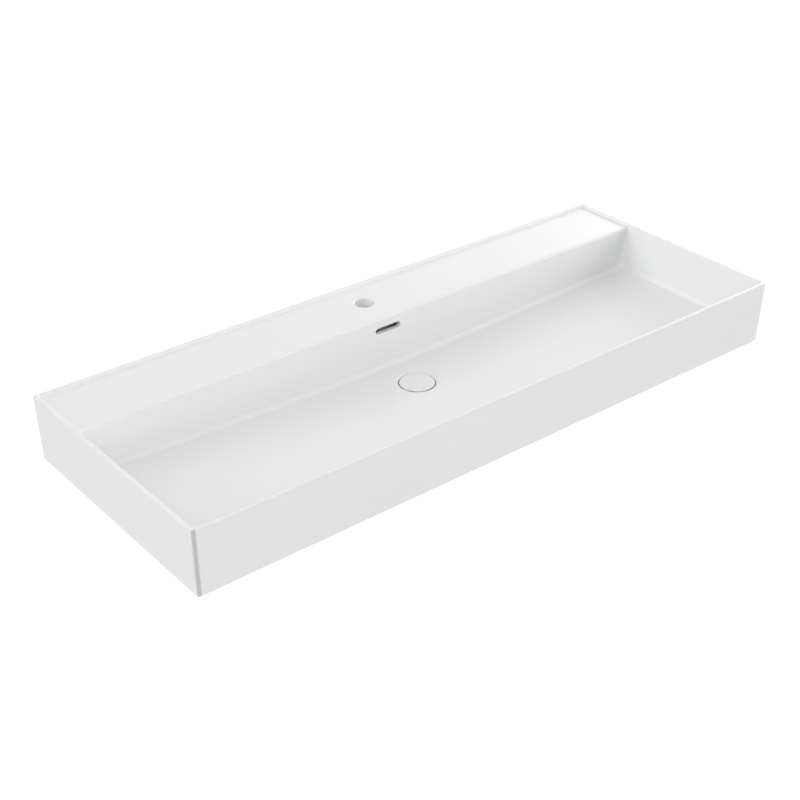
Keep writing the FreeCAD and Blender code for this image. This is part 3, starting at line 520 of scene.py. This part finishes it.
def threadedWaste():
    piece, form = copied("waste_body", "threadedWaste")
    tail = min(corner.co.z for corner in form.verts)
    low, high = tail + thread["bevel"], tail + thread["relief"]
    axis = Vector((0.0, -wasteAxis, 0.0))
    ring = [corner for corner in form.verts if abs(corner.co.z - low) < thread["close"]]
    crest = max((corner.co - axis).xy.length for corner in ring)

    def onWall(corner):
        around = abs((corner.co - axis).xy.length - crest) < thread["close"]
        return around and low - thread["close"] < corner.co.z < high + thread["close"]

    def upright(edge):
        run = edge.verts[1].co - edge.verts[0].co
        return abs(run.z) > high - low - thread["close"] and run.xy.length < thread["close"]

    # the plain wall becomes upright strips, and each strip gets its rows of corners
    wall = {face for face in form.faces if all(onWall(corner) for corner in face.verts)}
    within = [edge for edge in form.edges if len(edge.link_faces) == 2 and wall.issuperset(edge.link_faces)]
    bmesh.ops.dissolve_edges(form, edges=[edge for edge in within if not upright(edge)])
    ribs = [edge for edge in form.edges if upright(edge) and all(onWall(corner) for corner in edge.verts)]
    steps = round((high - low) / thread["pitch"] * thread["rowsPerTurn"])
    bmesh.ops.subdivide_edges(form, edges=ribs, cuts=steps - 1, use_grid_fill=True)
    print("thread:", len(ribs), "ribs in", steps, "steps")
    # then the groove is pressed in, fading over one turn at both ends
    for corner in form.verts:
        height = corner.co.z - low
        fade = min(1.0, height / thread["pitch"], (high - corner.co.z) / thread["pitch"])
        if onWall(corner) and fade > 0:
            out = (corner.co - axis).xy
            turn = height / thread["pitch"] - math.atan2(out.y, out.x) / (2 * math.pi)
            groove = (1 - math.cos(2 * math.pi * turn)) / 2
            out *= 1 - fade * thread["depth"] / crest * groove
            corner.co.xy = out + axis.xy
    seated(piece, form, "waste_body")


photographedBasin()
threadedWaste()
print("thread made")


studio = {
    "white": (1.0, 1.0, 1.0, 1.0),
    "floorHeight": -0.30,
    "floorReach": 14.0,
    "floorColour": (0.05, 0.05, 0.05, 1.0),
    "floorRoughness": 0.9,
    "floorShown": 1.0,  # how bright the camera sees the floor and the sky
    "floorLight": 0.65,  # how much light it throws on the basin
    "broad": (0.84, 0.99),  # cosines at the edge and at the heart of a soft lamp
    "narrow": (0.955, 0.995),
    "lamps": (  # kind, bearing from the right-hand side, height, strength
        ("broad", 0, 8, 0.6), ("broad", 90, 8, 0.2), ("broad", 180, 8, 2.35), ("broad", 225, 8, 0.15),
        ("broad", 315, 8, 3.75), ("broad", 0, 38, 1.2), ("broad", 135, 38, 2.2), ("broad", 225, 38, 1.4),
        ("broad", 90, 68, 0.3), ("broad", 270, 68, 1.2),
        ("narrow", 28, 13, 6.0), ("narrow", 40, 13, 1.1), ("narrow", 40, 33, 0.7), ("narrow", 52, 33, 0.2),
        ("narrow", 64, 33, 0.5),
    ),
}


class Sky(Finish):
    # the studio's light, by direction

    def __init__(self, name):
        self.material = bpy.data.worlds.new(name)
        self.material.use_nodes = True
        self.tree = self.material.node_tree
        self.shader = self.tree.nodes["Background"]
        self.shader.inputs["Color"].default_value = studio["white"]
        self.place = self.node("TexCoord", {}, {}, "Generated")


def layFloor(name, glow):
    floor = Finish(name, {"Base Color": studio["floorColour"], "Roughness": studio["floorRoughness"],
                          "Specular IOR Level": 0.0, "Emission Color": studio["white"],
                          "Emission Strength": glow})
    bpy.ops.mesh.primitive_plane_add(size=studio["floorReach"], location=(0, 0, studio["floorHeight"]))
    plane = bpy.context.object
    plane.name = name
    plane.data.materials.append(floor.material)
    return plane


def setStudio():
    scene = bpy.context.scene
    scene.view_settings.view_transform = "Standard"
    sky = Sky("studioSky")
    glow = 0
    for kind, bearing, height, strength in studio["lamps"]:
        turn, rise = math.radians(bearing), math.radians(height)
        aim = (math.cos(rise) * math.cos(turn), math.cos(rise) * math.sin(turn), math.sin(rise))
        toward = sky.node("VectorMath", {"operation": "DOT_PRODUCT"}, {0: sky.place, 1: aim}, 1)
        glow = glow + sky.ramp(toward, *studio[kind]) * strength
    seen = sky.node("LightPath", {}, {}, "Is Camera Ray")
    sky.varying("Strength", glow * (1 - seen) + seen * studio["floorShown"])
    scene.world = sky.material
    # the camera sees one floor, and the other lights the basin
    shown = layFloor("shownFloor", studio["floorShown"])
    shown.visible_diffuse = shown.visible_glossy = shown.visible_shadow = False
    lit = layFloor("lightingFloor", studio["floorLight"])
    lit.visible_camera = False


setCamera()
setStudio()
print("camera and studio set")
